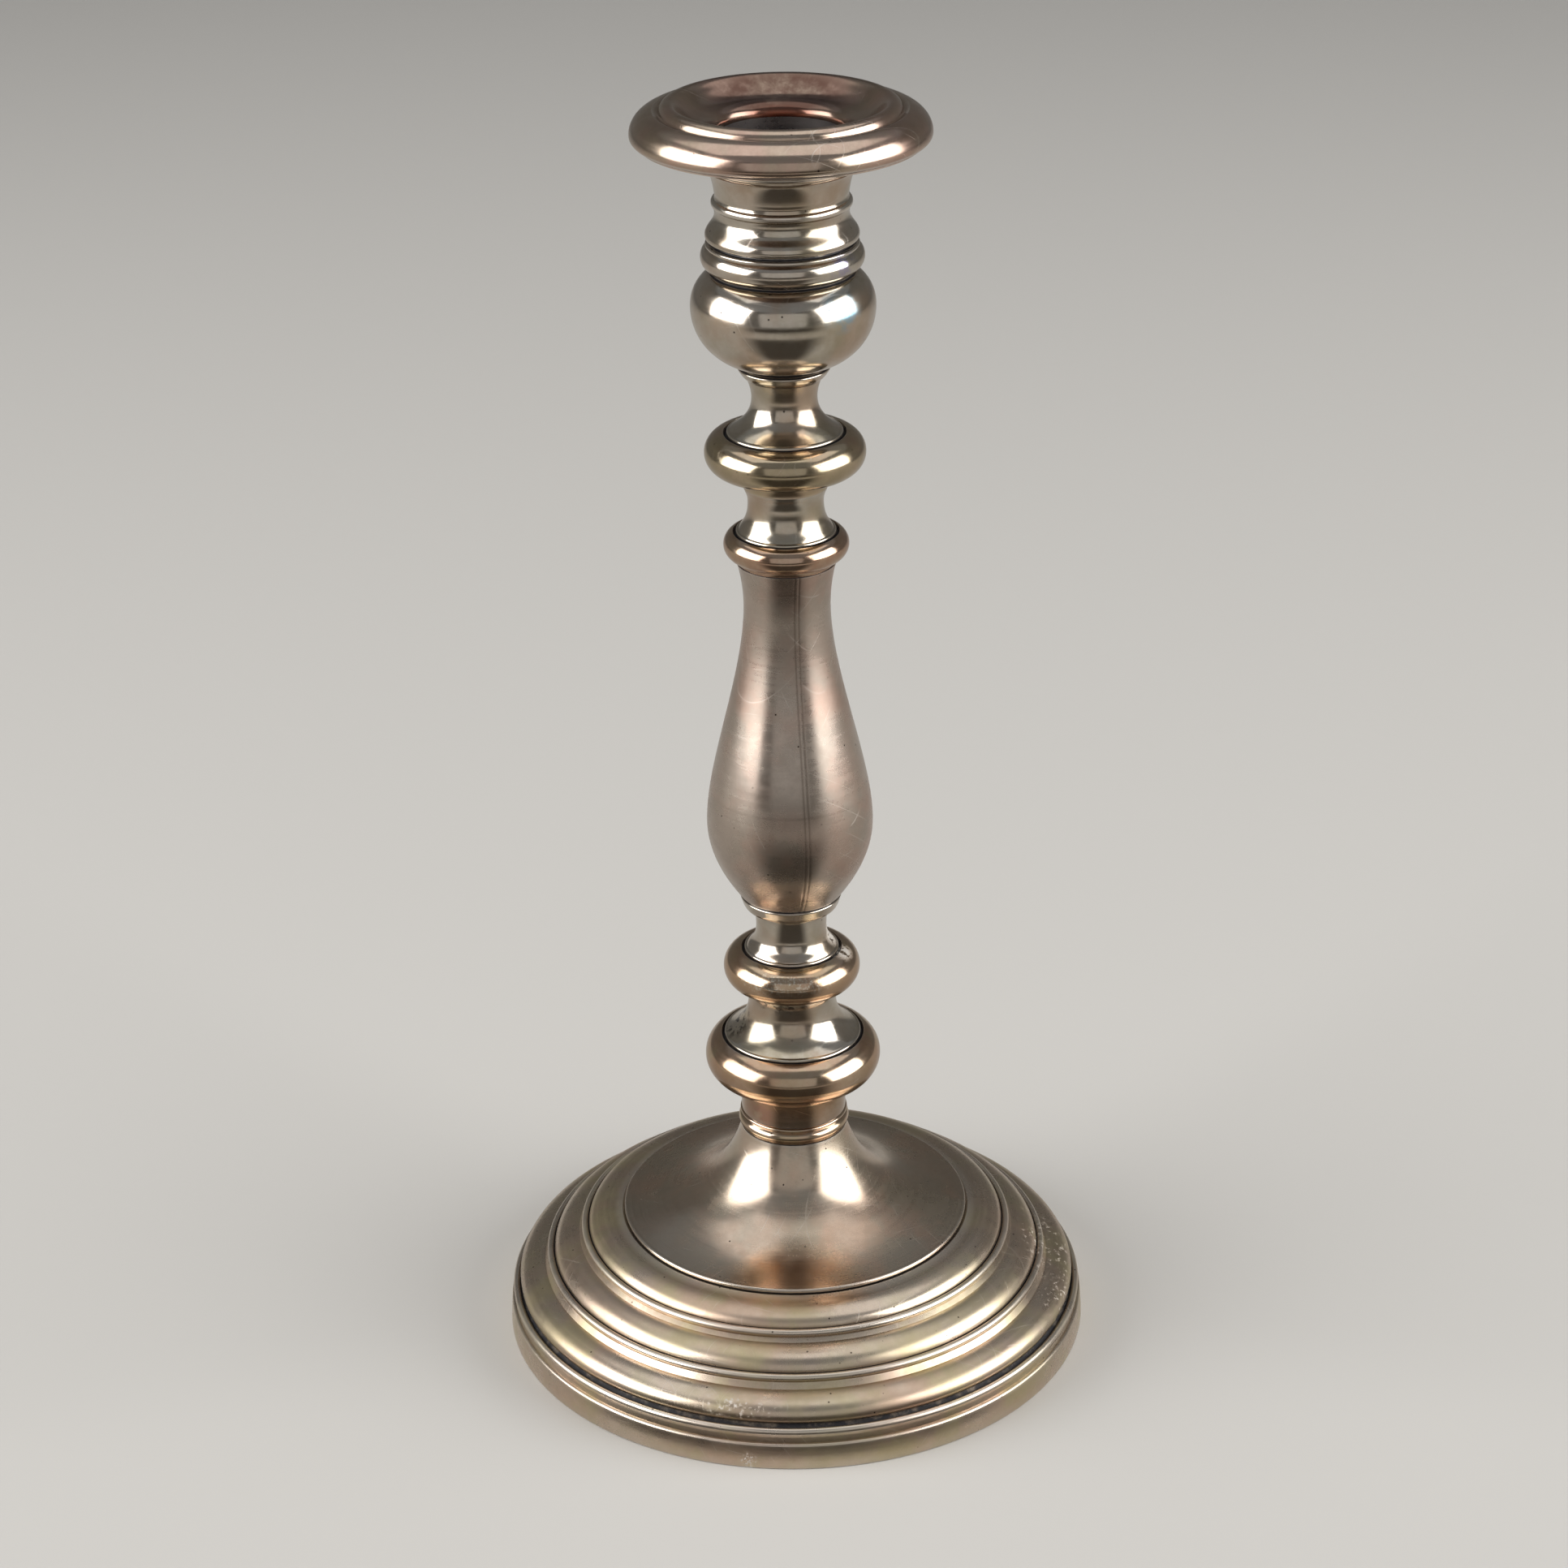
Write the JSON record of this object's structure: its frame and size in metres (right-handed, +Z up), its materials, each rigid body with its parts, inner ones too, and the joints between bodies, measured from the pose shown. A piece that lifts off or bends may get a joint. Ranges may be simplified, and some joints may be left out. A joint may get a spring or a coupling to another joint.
{
  "type": "candlestick",
  "caption": "Turned silver candlestick with a stepped round foot, a knopped baluster stem and a loose drip-pan nozzle for a household candle.",
  "frame": {"origin": "centre of the underside of the foot, on the table", "axes": "+Z up along the stem's axis, -Y towards the viewer"},
  "size_m": [0.1158, 0.1158, 0.2493],
  "materials": {
    "spun_silver": "polished, lightly tarnished",
    "knop_silver": "polished, coppery tarnish",
    "seamed_silver": "polished and scratched, with a soldered seam",
    "foot_silver": "satin from wear, with dark grooves",
    "nozzle_silver": "polished, brown tarnish",
    "socket_silver": "bright, scuffed by candles",
    "pitch_load": "matt",
    "black_iron": "forged",
    "green_baize": "felted"
  },
  "bodies": {
    "stick": {"baize_pad": "green_baize", "base_plate": "spun_silver", "foot_wire": "spun_silver", "foot_steps": "foot_silver", "foot_dish": "foot_silver", "foot_filling": "pitch_load", "stem_collar": "knop_silver", "large_knop": "knop_silver", "large_knop_cup": "spun_silver", "small_knop": "knop_silver", "small_knop_cup": "spun_silver", "vase_foot": "spun_silver", "vase": "seamed_silver", "ring_knop": "knop_silver", "ring_knop_cup": "spun_silver", "upper_knop": "knop_silver", "upper_knop_cup": "spun_silver", "stem_filling": "pitch_load", "iron_rod": "black_iron", "sconce_foot": "spun_silver", "sconce_bulb": "spun_silver", "sconce_ring": "spun_silver", "sconce_collar": "spun_silver"},
    "nozzle": {"nozzle_pan": "nozzle_silver", "nozzle_underplate": "nozzle_silver", "nozzle_socket": "socket_silver", "socket_floor": "socket_silver"}
  },
  "joints": [
    {"name": "nozzle_lift", "type": "slide", "parent": "stick", "child": "nozzle", "axis": [0, 0, 1], "range_m": [0, 0.027]}
  ]
}
